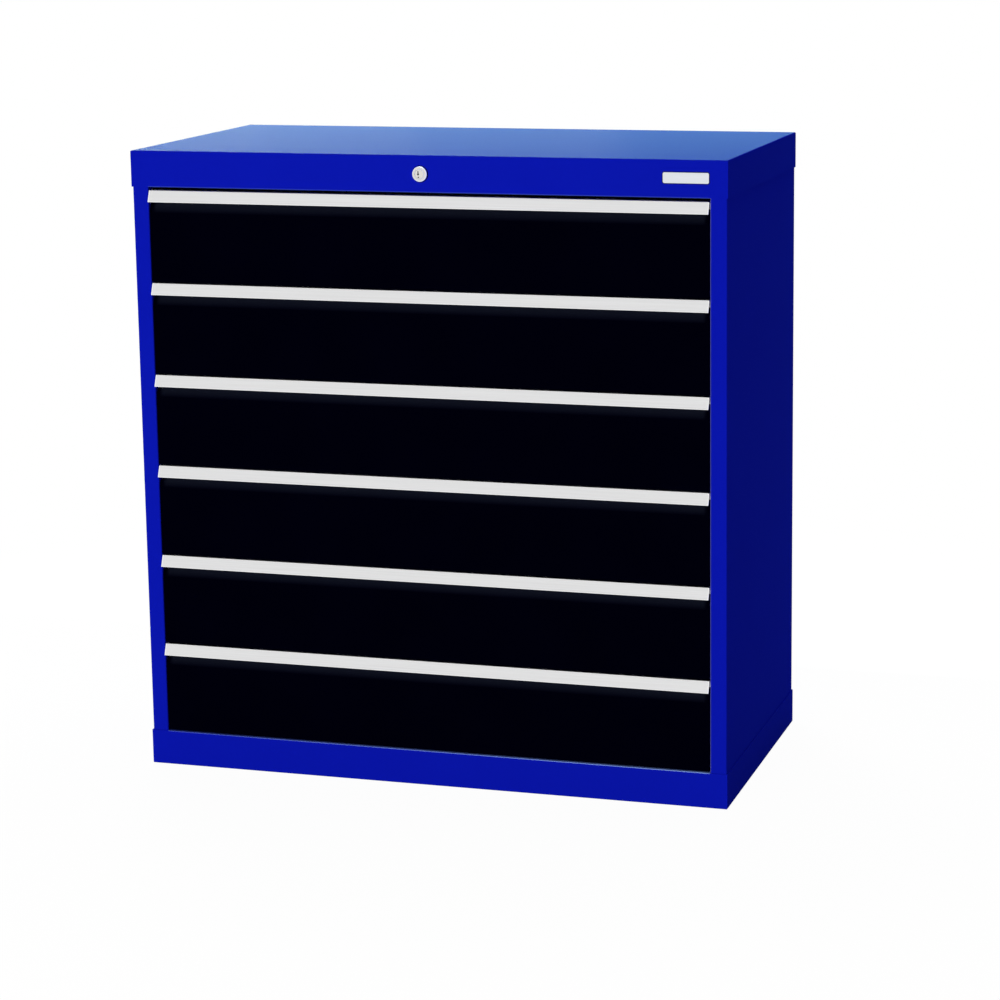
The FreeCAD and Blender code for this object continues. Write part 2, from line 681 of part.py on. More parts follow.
def drive_ear():
    """Plate on the latch bar's top with the pin that runs in the cross bar's slanted slot."""
    reach = DRIVE_PIN_RADIUS + BAR_EDGE
    plate = block((DRIVE_X - reach, LATCH_X + LATCH_BAR_WIDTH), (EAR_Y, EAR_Y + EAR_SHEET),
                  (LOCK_Z - reach, LOCK_Z + reach))
    return joined(plate, rod(DRIVE_PIN_RADIUS, DRIVE_X, LOCK_Z, CROSS_Y - BAR_GAP, EAR_Y))


def drawer_ear(number):
    """Plate on the latch bar that rises in front of a drawer's catch."""
    left = TRAY_HALF + CATCH_SHEET + EAR_GAP
    right = LATCH_X + LATCH_BAR_WIDTH
    top = catch_foot(number) - EAR_DROP
    low = top - EAR_HEIGHT
    corners = [(left, low), (right, low), (right, top), (left + EAR_BEVEL, top), (left, top - EAR_BEVEL)]
    return prism(outline(corners), "y", EAR_Y, EAR_Y + EAR_SHEET)


def latch_ears():
    """Plates fixed to the back of the latch bar."""
    ears = [drawer_ear(number) for number in range(1, DRAWERS + 1)]
    return Part.makeCompound([drive_ear()] + ears)


def cross_guide(x):
    """Hanger under the cap's top with a window for the cross bar."""
    y = (CROSS_Y - PLAY - GUIDE_EDGE, CROSS_Y + BAR_THICK + PLAY + GUIDE_EDGE)
    roof = HEIGHT - SHEET
    plate = block((x, x + GUIDE_SHEET), y, (CROSS_Z - PLAY - GUIDE_EDGE, roof))
    foot = block((x, x + GUIDE_FOOT), y, (roof - GUIDE_SHEET, roof))
    window = block((x - GUIDE_SHEET, x + 2 * GUIDE_SHEET), (CROSS_Y - PLAY, CROSS_Y + BAR_THICK + PLAY),
                   (CROSS_Z - PLAY, CROSS_Z + BAR_HEIGHT + PLAY))
    return joined(plate, foot).cut(window)


def latch_guide(z):
    """Bracket on the right side panel with a window for the latch bar."""
    y = (LATCH_Y - PLAY - GUIDE_EDGE, LATCH_Y + BAR_THICK + PLAY + GUIDE_EDGE)
    right = LATCH_X + LATCH_BAR_WIDTH + PLAY
    plate = block((LATCH_X - PLAY - GUIDE_SHEET, INNER_HALF), y, (z, z + GUIDE_SHEET))
    foot = block((INNER_HALF - GUIDE_SHEET, INNER_HALF), y, (z - GUIDE_FOOT, z + GUIDE_SHEET))
    window = block((LATCH_X - PLAY, right), (LATCH_Y - PLAY, LATCH_Y + BAR_THICK + PLAY),
                   (z - GUIDE_SHEET, z + 2 * GUIDE_SHEET))
    return joined(plate, foot).cut(window)


def bar_guides():
    guides = [cross_guide(OPEN_HALF * share) for share in CROSS_GUIDES]
    for number in range(1, DRAWERS + 1, LATCH_GUIDE_STEP):
        guides.append(latch_guide(drawer_floor(number) + LATCH_GUIDE_RISE))
    return Part.makeCompound(guides)


def build():
    """Every piece by its node's name."""
    nodes = {
        "top_cover": top_cover(),
        "side_panel_left": side_panel("left"),
        "side_panel_right": side_panel("right"),
        "back_panel": back_panel(),
        "base_plinth": base_plinth(),
        "bottom_panel": bottom_panel(),
        "uprights_left": uprights("left"),
        "uprights_right": uprights("right"),
        "name_plate": name_plate(),
        "lock_case": lock_case(),
        "lock_nut": lock_nut(),
        "lock_plug": lock_plug(),
        "lock_cam": lock_cam(),
        "cam_screw": cam_screw(),
        "cross_bar": cross_bar(),
        "latch_bar": latch_bar(),
        "latch_ears": latch_ears(),
        "bar_guides": bar_guides(),
    }
    for number in range(1, DRAWERS + 1):
        name = "drawer_%d_" % number
        nodes[name + "front"] = drawer_front(number)
        nodes[name + "handle"] = handle(number)
        nodes[name + "tray"] = tray(number)
        nodes[name + "catch"] = catch(number)
        nodes[name + "inner_rails"] = inner_rails(number)
        nodes[name + "middle_rails"] = middle_rails(number)
        nodes[name + "outer_rails"] = outer_rails(number)
    return nodes


os.makedirs("parts", exist_ok=True)
for node, shape in build().items():
    shape.exportStep("parts/" + node + ".step")
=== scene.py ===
import math

import bmesh
import bpy
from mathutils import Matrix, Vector


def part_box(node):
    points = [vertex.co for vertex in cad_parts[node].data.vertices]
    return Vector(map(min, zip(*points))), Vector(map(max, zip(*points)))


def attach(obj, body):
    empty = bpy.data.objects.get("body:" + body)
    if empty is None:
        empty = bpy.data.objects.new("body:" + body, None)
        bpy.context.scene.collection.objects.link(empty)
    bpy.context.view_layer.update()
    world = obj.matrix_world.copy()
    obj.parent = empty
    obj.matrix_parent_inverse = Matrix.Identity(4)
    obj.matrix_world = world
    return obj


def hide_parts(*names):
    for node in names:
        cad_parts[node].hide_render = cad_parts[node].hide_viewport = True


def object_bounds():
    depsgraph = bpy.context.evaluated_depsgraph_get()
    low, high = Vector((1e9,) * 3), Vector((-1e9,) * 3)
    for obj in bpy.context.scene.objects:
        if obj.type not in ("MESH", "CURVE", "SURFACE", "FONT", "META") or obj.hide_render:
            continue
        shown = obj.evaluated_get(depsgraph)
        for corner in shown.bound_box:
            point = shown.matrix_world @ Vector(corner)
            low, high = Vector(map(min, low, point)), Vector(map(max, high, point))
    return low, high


# The looks of a steel workshop drawer cabinet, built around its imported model.
# Places and sizes are in metres in the model's own frame.

MM = 0.001

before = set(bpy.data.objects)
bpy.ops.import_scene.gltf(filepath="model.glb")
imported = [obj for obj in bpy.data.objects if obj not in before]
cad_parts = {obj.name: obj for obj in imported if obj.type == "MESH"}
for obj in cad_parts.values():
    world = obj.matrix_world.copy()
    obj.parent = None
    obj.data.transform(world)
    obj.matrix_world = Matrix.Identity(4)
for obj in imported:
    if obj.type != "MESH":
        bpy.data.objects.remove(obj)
cad_low, cad_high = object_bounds()

# Camera, worked out from the cabinet's outlines in the photograph
CAMERA_PLACE = (1.46558, -4.46555, 1.43562)
CAMERA_TURN = (78.98612, 0.66367, 16.75934)
CAMERA_LENS = 103.45311
CAMERA_SHIFT = (-0.03714, -0.05965)

# World and floor
AMBIENT = 0.33           # world as the matt surfaces see it
FLOOR_SHARE = 0.03       # share of the floor that takes light and shadow, the rest is plain white
FLOOR_NEAR = 0.9         # it fades to plain white from here
FLOOR_FAR = 1.8
FLOOR_HALF = 8.0

# Lamps: place, target, width and power
KEY_LAMP = ((-0.8, -6.8, 0.8), (0, 0, 0.3), 1.6, 294)
TOP_LAMP = ((0.0, 0.9, 4.2), (0, 0, 0.9), 2.4, 76)
# Low lamps behind and to the left, which make the top pale and more so to the left
REAR_LAMPS = (
    ((-2.2, 4.6, 1.9), (0, 0, 1.0), 2.4, 175),
    ((-2.8, 4.2, 1.5), (0, 0, 1.0), 2.4, 170),
    ((-3.2, 4.0, 1.6), (0, 0, 1.0), 2.4, 150),
)

# Screen behind the cabinet
SCRIM_SHARE = 0.32       # light of the rear lamps that it lets through
SCRIM_LEFT = -2.0
SCRIM_RIGHT = 1.5
SCRIM_PLACE = 0.6        # behind the middle of the cabinet

# Opening of the housing, and the folds round it, which carry painted highlights
OPENING_HALF = 461.7 * MM
PLINTH_FOLD = 57.3 * MM  # height of the middle of each
CAP_FOLD = 962.5 * MM
STILE_FOLD = 462.4 * MM  # its distance from the middle
FOLD_WIDTH = 1.8 * MM
FOLD_FADE = 1 * MM
FOLD_HIGHLIGHT_LEFT = 0.2          # strength of the painted highlight on the plinth's fold at its left end, 1 being that at its right end
FRONT_PLANE = -247.4 * MM
FRONT_REACH = 10 * MM    # the painted highlights on the folds reach this far from the front

# Drawer fronts
LOWEST_FRONT = 58.5 * MM
FRONT_PITCH = 150 * MM
# Painted highlight in the hollow of a front, which slopes up under the grip rail: heights above the
# front's lower edge
HOLLOW_LOW = 112 * MM
HOLLOW_HIGH = 138 * MM
HOLLOW_END = 456 * MM    # the painted highlight ends this far from the middle
HOLLOW_FADE = 6 * MM
# Ends and folds of the grip rail, which get a painted highlight
RAIL_END = 459.4 * MM
RAIL_FADE = 0.4 * MM
RAIL_FACE_UP = 0.376     # upward part of the direction that its sloping face looks in
RAIL_FACE_PLAY = 0.08

# Edges of the new pieces look sharp where two faces meet at more than this, in degrees
SHARP_ANGLE = 40

# Lock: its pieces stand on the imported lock's axis
LOCK_STEPS = 72          # points on its circles
RIM_STEPS = 6            # steps of the bezel's rounded rim
BEZEL_RADIUS = 12.3 * MM
BEZEL_DEPTH = 4.9 * MM
BEZEL_ROUND = 2.3 * MM
RIM_HIGHLIGHT_START = -0.97     # backward part of the direction that its rim looks in, where its painted highlight starts
RIM_HIGHLIGHT_FULL = -0.85
CASE_RADIUS = 9.5 * MM
CORE_RADIUS = 7.5 * MM
CORE_PLAY = 0.3 * MM
CORE_SUNK = 0.3 * MM     # face of the core behind the face of the bezel
CORE_CHAMFER = 0.25 * MM
TANG_RADIUS = 3.0 * MM   # inside the cam's square hole
KEYWAY_DEPTH = 0.8 * MM  # depth of the holes; a dark plug there stands in for the shade inside them
SHADE_PLUG_THICK = 1 * MM
SHADE_PLUG_REACH = 0.02 * MM
# Places on the core's face are to the right of its axis and above it
KEYHOLE_EYE = (-1.8 * MM, -0.3 * MM)
KEYHOLE_RADIUS = 1.6 * MM
KEYHOLE_TOP = 4.9 * MM
KEYHOLE_HALF = 0.8 * MM  # of the slot above the eye
RELEASE_EYE = (-1.4 * MM, -4.8 * MM)
RELEASE_RADIUS = 1.1 * MM
EYE_STEPS = 20
SLOT_STEPS = 8
RELEASE_STEPS = 16

# Bare plate
PLATE_SIZE = (72 * MM, 16.5 * MM)
PLATE_SHIFT = (-1.2 * MM, 1.5 * MM)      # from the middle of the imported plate
PLATE_THICK = 1.1 * MM
PLATE_ROUND = 2.5 * MM
PLATE_EDGE = 0.35 * MM
CORNER_STEPS = 6

# Black rings under the bezel and the plate, which stand in for the shadow round them
SHADOW_BORDER_REACH = 1.0 * MM
SHADOW_BORDER_THICK = 0.4 * MM

# Rivets on the side panels' rear folds
RIVET_RADIUS = 3.2 * MM
RIVET_HEIGHT = 0.8 * MM
RIVET_PITCH = 140 * MM
RIVET_INSET = 14 * MM    # from the side panel's outer face
RIVET_MARGIN = 70 * MM   # from the side panel's ends
RIVET_DOME = ((1.0, 0.0), (0.94, 0.45), (0.72, 0.8), (0.38, 0.96))  # shares of radius and height
RIVET_STEPS = 20
RIVET_START = 45         # direction of a ring's first point, in degrees


def linear(hex_code):
    """The colour that a shader takes, from an sRGB hex code."""
    channels = []
    for start in (1, 3, 5):
        value = int(hex_code[start:start + 2], 16) / 255
        channels.append(value / 12.92 if value <= 0.04045 else ((value + 0.055) / 1.055) ** 2.4)
    return (*channels, 1.0)


def per_metre(size_mm):
    """Scale of a pattern whose features are this many millimetres across."""
    return 1 / (size_mm * MM)


def add(tree, kind, settings=None, links=None):
    """Adds a node. Settings name its properties or sockets, and links its sockets' sources."""
    made = tree.nodes.new(kind)
    for name, value in (settings or {}).items():
        if isinstance(name, str) and hasattr(made, name):
            setattr(made, name, value)
        else:
            made.inputs[name].default_value = value
    for name, source in (links or {}).items():
        tree.links.new(source, made.inputs[name])
    return made


def start_material(name):
    """An empty material and its node tree."""
    material = bpy.data.materials.new(name)
    material.use_nodes = True
    material.node_tree.nodes.clear()
    return material, material.node_tree


def start_finish(name, constants):
    """A material with its surface shader, which takes constants, and the place on the object."""
    material, tree = start_material(name)
    place = add(tree, "ShaderNodeTexCoord").outputs["Object"]
    surface = add(tree, "ShaderNodeBsdfPrincipled", constants)
    add(tree, "ShaderNodeOutputMaterial", links={"Surface": surface.outputs["BSDF"]})
    return material, tree, place, surface


def join(tree, surface, colour, roughness, relief=None):
    """Links a finish's patterns to its surface."""
    tree.links.new(colour, surface.inputs["Base Color"])
    tree.links.new(roughness, surface.inputs["Roughness"])
    if relief:
        tree.links.new(relief, surface.inputs["Normal"])


def powder(tree, place, tones, cloud_mm, grain_mm, detail, bump, rough):
    """Colour, roughness and relief of a powder coat. Its two tones form clouds, and its grain has a
    bump of a strength and a depth, and a roughness that goes from one value to another."""
    cloud = add(tree, "ShaderNodeTexNoise", {"Scale": per_metre(cloud_mm), "Detail": detail},
                {"Vector": place})
    tone = add(tree, "ShaderNodeMix", {"data_type": "RGBA", 6: linear(tones[0]), 7: linear(tones[1])},
               {0: cloud.outputs["Fac"]})
    grain = add(tree, "ShaderNodeTexNoise", {"Scale": per_metre(grain_mm), "Detail": detail},
                {"Vector": place})
    relief = add(tree, "ShaderNodeBump", {"Strength": bump[0], "Distance": bump[1]},
                 {"Height": grain.outputs["Fac"]})
    gloss = add(tree, "ShaderNodeMapRange", {"To Min": rough[0], "To Max": rough[1]},
                {"Value": grain.outputs["Fac"]})
    return tone.outputs[2], gloss.outputs["Result"], relief.outputs["Normal"]


def brushed(tree, place, tones, grain_mm, detail, rough):
    """Colour, roughness and lines of a metal whose grain has a size along each axis."""
    along = add(tree, "ShaderNodeMapping", {"Scale": [per_metre(size) for size in grain_mm]},
                {"Vector": place})
    lines = add(tree, "ShaderNodeTexNoise", {"Scale": 1.0, "Detail": detail},
                {"Vector": along.outputs[0]}).outputs["Fac"]
    tone = add(tree, "ShaderNodeMix", {"data_type": "RGBA", 6: linear(tones[0]), 7: linear(tones[1])},
               {0: lines})
    gloss = add(tree, "ShaderNodeMapRange", {"To Min": rough[0], "To Max": rough[1]}, {"Value": lines})
    return tone.outputs[2], gloss.outputs["Result"], lines


def within(tree, place, end, fade):
    """1 near the middle of the cabinet's width, falling to 0 over a fade that stops at an end."""
    across = add(tree, "ShaderNodeSeparateXYZ", links={0: place})
    away = add(tree, "ShaderNodeMath", {"operation": "ABSOLUTE"}, {0: across.outputs["X"]})
    return add(tree, "ShaderNodeMapRange", {"From Min": end, "From Max": end - fade},
               {"Value": away.outputs[0]}).outputs[0]


def painted_fold_highlights(tree, place, tone):
    """A tone with painted highlights on the folds of the housing round the drawers, which stand in for
    the light that their rounded bends catch.
    """
    axes = add(tree, "ShaderNodeSeparateXYZ", links={0: place})
    front = add(tree, "ShaderNodeMath", {"operation": "COMPARE", 1: FRONT_PLANE, 2: FRONT_REACH},
                {0: axes.outputs["Y"]}).outputs[0]
    opening = within(tree, place, OPENING_HALF, FOLD_FADE)
    middle = (PLINTH_FOLD + CAP_FOLD) / 2
    beside = add(tree, "ShaderNodeMath", {"operation": "COMPARE", 1: middle, 2: CAP_FOLD - middle},
                 {0: axes.outputs["Z"]}).outputs[0]
    paler = add(tree, "ShaderNodeMapRange",
                {"From Min": -OPENING_HALF, "From Max": OPENING_HALF, "To Min": FOLD_HIGHLIGHT_LEFT},
                {"Value": axes.outputs["X"]})
    below = add(tree, "ShaderNodeMath", {"operation": "MULTIPLY"},
                {0: opening, 1: paler.outputs[0]}).outputs[0]
    # Painted highlights: each fold's colour stands in for the light that its rounded bend catches
    folds = (
        ("Z", PLINTH_FOLD, below, "#7E9AE2"),
        ("Z", CAP_FOLD, opening, "#2A3AA0"),
        ("X", STILE_FOLD, beside, "#5054AC"),
    )
    for axis, fold, limit, colour in folds:
        near = add(tree, "ShaderNodeMath", {"operation": "COMPARE", 1: fold, 2: FOLD_WIDTH / 2},
                   {0: axes.outputs[axis]})
        limited = add(tree, "ShaderNodeMath", {"operation": "MULTIPLY"}, {0: front, 1: limit})
        fold_highlight = add(tree, "ShaderNodeMath", {"operation": "MULTIPLY"},
                   {0: near.outputs[0], 1: limited.outputs[0]})
        tone = add(tree, "ShaderNodeMix", {"data_type": "RGBA", 7: linear(colour)},
                   {0: fold_highlight.outputs[0], 6: tone}).outputs[2]
    return tone


def blue_powder_coat():
    """Polyester powder baked on the housing. It looks deep and even, with a slight orange peel, and
    turns pale where it is seen along its surface. The folds round the drawers carry painted
    highlights."""
    constants = {"IOR": 1.003, "Sheen Weight": 0.9, "Sheen Roughness": 0.1,
                 "Sheen Tint": linear("#A0ECC8")}
    material, tree, place, surface = start_finish("blue_powder_coat", constants)
    # The real peel is 1 to 2 mm wide, too fine for the picture, so it is drawn at 5 mm
    tone, gloss, relief = powder(tree, place, ("#0914A4", "#0A17A9"), 160, 5, 2.0,
                                 (0.12, 0.4 * MM), (0.32, 0.4))
    join(tree, surface, painted_fold_highlights(tree, place, tone), gloss, relief)
    return material


def black_powder_coat():
    """Black polyester powder on the drawers' fronts, near full black with a faint peel. The hollow
    under the grip rail, which looks up, has a faint cool painted highlight."""
    material, tree, place, surface = start_finish("black_powder_coat", {"IOR": 1.02})
    # The real peel is 1 to 2 mm wide, too fine for the picture, so it is drawn at 5 mm
    tone, gloss, relief = powder(tree, place, ("#000007", "#01010B"), 120, 5, 2.0,
                                 (0.12, 0.4 * MM), (0.3, 0.42))
    height = add(tree, "ShaderNodeSeparateXYZ", links={0: place}).outputs["Z"]
    lowest = add(tree, "ShaderNodeMath", {"operation": "SUBTRACT", 1: LOWEST_FRONT}, {0: height})
    own = add(tree, "ShaderNodeMath", {"operation": "MODULO", 1: FRONT_PITCH}, {0: lowest.outputs[0]})
    hollow_height_ramp = add(tree, "ShaderNodeMapRange", {"From Min": HOLLOW_LOW, "From Max": HOLLOW_HIGH},
                 {"Value": own.outputs[0]})
    hollow_highlight = add(tree, "ShaderNodeMath", {"operation": "MULTIPLY"},
               {0: hollow_height_ramp.outputs[0], 1: within(tree, place, HOLLOW_END, HOLLOW_FADE)})
    # Painted highlight: the cool colour stands in for the light that the upturned hollow catches
    shown = add(tree, "ShaderNodeMix", {"data_type": "RGBA", 7: linear("#1E2230")},
                {0: hollow_highlight.outputs[0], 6: tone})
    join(tree, surface, shown.outputs[2], gloss, relief)
    return material


def grey_powder_coat():
    """Light grey textured powder in the trays and on the uprights, with a fine sandy grain."""
    material, tree, place, surface = start_finish("grey_powder_coat", {"IOR": 1.3})
    # The real grain is under 1 mm, too fine for the picture, so it is drawn at 3 mm
    tone, gloss, relief = powder(tree, place, ("#B9BDBF", "#C6CACB"), 90, 3, 3.0,
                                 (0.25, 0.3 * MM), (0.5, 0.65))
    join(tree, surface, tone, gloss, relief)
    return material


def anodised_aluminium():
    """Brushed and clear anodised extrusion: pale neutral grey, with fine lines along the grip rail,
    and painted highlights along its folds and its sawn ends."""
    material, tree, place, surface = start_finish("anodised_aluminium", {"Metallic": 1.0})
    # The real brush lines are 0.1 to 0.3 mm apart, too fine for the picture, so they are 1.6 mm
    tone, gloss, lines = brushed(tree, place, ("#D9D9D9", "#EBEBEC"), (180, 1.6, 1.6), 3.0, (0.28, 0.46))
    relief = add(tree, "ShaderNodeBump", {"Strength": 0.1, "Distance": 0.2 * MM}, {"Height": lines})
    normal = add(tree, "ShaderNodeNewGeometry").outputs["Normal"]
    upward = add(tree, "ShaderNodeSeparateXYZ", links={0: normal})
    turned = add(tree, "ShaderNodeMath", {"operation": "COMPARE", 1: RAIL_FACE_UP, 2: RAIL_FACE_PLAY},
                 {0: upward.outputs["Z"]})
    face = add(tree, "ShaderNodeMath", {"operation": "MULTIPLY"},
               {0: turned.outputs[0], 1: within(tree, place, RAIL_END, RAIL_FADE)})
    # Painted highlight: all but the sloping face between the sawn ends is white
    shown = add(tree, "ShaderNodeMix", {"data_type": "RGBA", 6: linear("#FFFFFF")},
                {0: face.outputs[0], 7: tone})
    join(tree, surface, shown.outputs[2], gloss, relief.outputs["Normal"])
    return material


def zinc_plated_runner():
    """Bright zinc on the roll-formed runners: silvery, with faint lines along their length."""
    material, tree, place, surface = start_finish("zinc_plated_runner", {"Metallic": 1.0})
    # The real rolling lines are finer than the picture shows, so they are drawn 2 mm apart
    tone, gloss, _ = brushed(tree, place, ("#BFC1C4", "#D3D5D9"), (2, 150, 2), 2.0, (0.2, 0.36))
    join(tree, surface, tone, gloss)
    return material


def zinc_plated_steel():
    """Zinc on flat steel parts: cooler and duller than the runners, with a crystalline cloudiness."""
    material, tree, place, surface = start_finish("zinc_plated_steel", {"Metallic": 1.0})
    crystals = add(tree, "ShaderNodeTexVoronoi", {"Scale": per_metre(9)}, {"Vector": place})
    cloud = add(tree, "ShaderNodeTexNoise", {"Scale": per_metre(40), "Detail": 3.0}, {"Vector": place})
    patch = add(tree, "ShaderNodeMix", {"data_type": "FLOAT", 0: 0.35},
                {2: cloud.outputs["Fac"], 3: crystals.outputs["Distance"]})
    tone = add(tree, "ShaderNodeMix", {"data_type": "RGBA", 6: linear("#B2B5B9"), 7: linear("#CBCDD0")},
               {0: patch.outputs[0]})
    gloss = add(tree, "ShaderNodeMapRange", {"To Min": 0.32, "To Max": 0.5}, {"Value": patch.outputs[0]})
    join(tree, surface, tone.outputs[2], gloss.outputs["Result"])
    return material


def nickel_plated_lock():
    """Satin nickel on the die-cast lock: warm pale grey with a soft shine and fine turning marks,
    with a painted highlight in cool white where the rim of the bezel turns away."""
    material, tree, place, surface = start_finish("nickel_plated_lock", {"Metallic": 1.0})
    marks = add(tree, "ShaderNodeTexNoise", {"Scale": per_metre(1.2), "Detail": 2.0}, {"Vector": place})
    tone = add(tree, "ShaderNodeMix", {"data_type": "RGBA", 6: linear("#D6D4D0"), 7: linear("#E8E7E4")},
               {0: marks.outputs["Fac"]})
    gloss = add(tree, "ShaderNodeMapRange", {"To Min": 0.18, "To Max": 0.3},
                {"Value": marks.outputs["Fac"]})
    normal = add(tree, "ShaderNodeNewGeometry").outputs["Normal"]
    front = add(tree, "ShaderNodeSeparateXYZ", links={0: normal})
    # Painted highlight on the rim of the bezel, where it turns away
    rim = add(tree, "ShaderNodeMapRange", {"From Min": RIM_HIGHLIGHT_START, "From Max": RIM_HIGHLIGHT_FULL},
              {"Value": front.outputs["Y"]})
    shown = add(tree, "ShaderNodeMix", {"data_type": "RGBA", 7: linear("#E4EAFF")},
                {0: rim.outputs[0], 6: tone.outputs[2]})
    join(tree, surface, shown.outputs[2], gloss.outputs["Result"])
    return material


def bare_plate():
    """Satin aluminium plate, left bare: an even pale grey with a fine cross-brushed grain."""
    material, tree, place, surface = start_finish("bare_plate", {"Metallic": 1.0})
    # The real grain is 0.1 mm, too fine for the picture, so it is drawn at 1.5 mm
    tone, gloss, _ = brushed(tree, place, ("#DCE0E6", "#E8ECF2"), (30, 1.5, 1.5), 2.0, (0.4, 0.5))
    join(tree, surface, tone, gloss)
    return material


FINISHES = {finish.__name__: finish() for finish in (
    blue_powder_coat, black_powder_coat, grey_powder_coat, anodised_aluminium,
    zinc_plated_runner, zinc_plated_steel, nickel_plated_lock, bare_plate,
)}


def finish_nodes():
    """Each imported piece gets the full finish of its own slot."""
    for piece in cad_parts.values():
        for slot in piece.material_slots:
            slot.material = FINISHES[slot.material.name.split(".")[0]]


def seen_ray(tree):
    """1 for the rays that show the background: straight, mirrored or through glass."""
    path = add(tree, "ShaderNodeLightPath")
    shown = add(tree, "ShaderNodeMath", {"operation": "MAXIMUM"},
                {0: path.outputs["Is Camera Ray"], 1: path.outputs["Is Glossy Ray"]})
    return add(tree, "ShaderNodeMath", {"operation": "MAXIMUM"},
               {0: shown.outputs[0], 1: path.outputs["Is Transmission Ray"]}).outputs[0]


def studio_world():
    world = bpy.data.worlds.new("studio")
    bpy.context.scene.world = world
    world.use_nodes = True
    tree = world.node_tree
    tree.nodes.clear()
    level = add(tree, "ShaderNodeMapRange", {"To Min": AMBIENT, "To Max": 1.0}, {"Value": seen_ray(tree)})
    light = add(tree, "ShaderNodeBackground", {"Color": linear("#FFFFFF")},
                {"Strength": level.outputs["Result"]})
    add(tree, "ShaderNodeOutputWorld", links={"Surface": light.outputs[0]})


def place_object(name, data):
    """A new object in the scene."""
    made = bpy.data.objects.new(name, data)
    bpy.context.scene.collection.objects.link(made)
    return made


def stage_sheet(name, corners, material):
    """A flat four-sided piece of the stage."""
    mesh = bpy.data.meshes.new(name)
    mesh.from_pydata(corners, [], [(0, 1, 2, 3)])
    mesh.materials.append(material)
    sheet = place_object(name, mesh)
    return sheet


def studio_floor():
    """Pale floor under the cabinet. A share of it takes the light, so that it keeps the shadow."""
    material, tree = start_material("pale_floor")
    # The cabinet is lit by less of the floor than the eye sees, as on a studio's matt ground
    seen = seen_ray(tree)
    ground = add(tree, "ShaderNodeMix", {"data_type": "RGBA", 6: linear("#C8C8C8"), 7: linear("#FCFCFC")},
                 {0: seen})
    matt = add(tree, "ShaderNodeBsdfDiffuse", links={"Color": ground.outputs[2]})
    plain = add(tree, "ShaderNodeEmission", {"Strength": 1.0})
    place = add(tree, "ShaderNodeTexCoord").outputs["Object"]
    far = add(tree, "ShaderNodeVectorMath", {"operation": "LENGTH"}, {0: place}).outputs["Value"]
    white = add(tree, "ShaderNodeMapRange", {"From Min": FLOOR_NEAR, "From Max": FLOOR_FAR,
                                             "To Min": 1 - FLOOR_SHARE, "To Max": 1.0}, {"Value": far})
    share = add(tree, "ShaderNodeMath", {"operation": "MULTIPLY"}, {0: seen, 1: white.outputs["Result"]})
    mixed = add(tree, "ShaderNodeMixShader",
                links={0: share.outputs[0], 1: matt.outputs[0], 2: plain.outputs[0]})
    add(tree, "ShaderNodeOutputMaterial", links={"Surface": mixed.outputs[0]})
    corners = [(FLOOR_HALF * x, FLOOR_HALF * y, 0) for x, y in ((-1, -1), (1, -1), (1, 1), (-1, 1))]
    stage_sheet("floor", corners, material)


def studio_scrim():
    """Half-clear screen behind the cabinet and as high as its top. It dims the rear lamps on the back
    and the left side, and no ray but a lamp's meets it."""
    material, tree = start_material("scrim_cloth")
    cloth = add(tree, "ShaderNodeBsdfTransparent", {"Color": (SCRIM_SHARE, SCRIM_SHARE, SCRIM_SHARE, 1)})
    add(tree, "ShaderNodeOutputMaterial", links={"Surface": cloth.outputs[0]})
    corners = []
    for x, z in ((SCRIM_LEFT, 0), (SCRIM_RIGHT, 0), (SCRIM_RIGHT, cad_high.z), (SCRIM_LEFT, cad_high.z)):
        corners.append((x, SCRIM_PLACE, z))
    scrim = stage_sheet("scrim", corners, material)
    for ray in ("camera", "diffuse", "glossy", "transmission"):
        setattr(scrim, "visible_" + ray, False)


def lamp(name, place, target, size, power):
    """A soft square lamp that points at a target. The camera doesn't see it."""
    light = bpy.data.lights.new(name, "AREA")
    light.shape = "SQUARE"
    light.size = size
    light.energy = power
    made = place_object(name, light)
    made.location = place
    made.rotation_euler = (Vector(target) - Vector(place)).to_track_quat("-Z", "Y").to_euler()
    made.visible_camera = False
    return made


def studio_lamps():
    key = lamp("key_lamp", *KEY_LAMP)
    key.visible_glossy = False
    lamp("top_lamp", *TOP_LAMP)
    for i, rear_lamp in enumerate(REAR_LAMPS):
        lamp("rear_lamp_%d" % (i + 1), *rear_lamp)


def studio_camera():
    camera = bpy.data.cameras.new("camera")
    camera.lens = CAMERA_LENS
    camera.shift_x, camera.shift_y = CAMERA_SHIFT
    made = place_object("camera", camera)
    made.location = CAMERA_PLACE
    made.rotation_euler = [math.radians(angle) for angle in CAMERA_TURN]
    bpy.context.scene.camera = made


def mesh_piece(name, body, slot, drawing):
    """A new piece on a body, from a finished bmesh, with the finish of its slot."""
    mesh = bpy.data.meshes.new(name)
    drawing.to_mesh(mesh)
    drawing.free()
    mesh.shade_smooth()
    mesh.set_sharp_from_angle(angle=math.radians(SHARP_ANGLE))
    mesh.materials.append(FINISHES[slot])
    piece = place_object(name, mesh)
    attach(piece, body)
    return piece


# The pieces are drawn as rings of vertices. A ring lies at one depth, and its points are x and z.


def arc(centre, radius, start, turn, steps):
    """Points on an arc, from a start angle through a turn, both in degrees."""
    points = []
    for i in range(steps + 1):
        angle = math.radians(start + turn * i / steps)
        points.append((centre[0] + radius * math.cos(angle), centre[1] + radius * math.sin(angle)))
    return points


def circle(centre, radius, steps, start=0, turn=360):
    return arc(centre, radius, start, turn, steps)[:-1]


def ring(drawing, points, depth):
    return [drawing.verts.new((x, depth, z)) for x, z in points]


def deeper(drawing, near, distance):
    """A copy of a ring, further in."""
    return [drawing.verts.new(vertex.co + Vector((0, distance, 0))) for vertex in near]


def skin(drawing, near, far):
    """Faces between two rings of as many vertices."""
    for i in range(len(near)):
        j = (i + 1) % len(near)
        drawing.faces.new((near[i], near[j], far[j], far[i]))


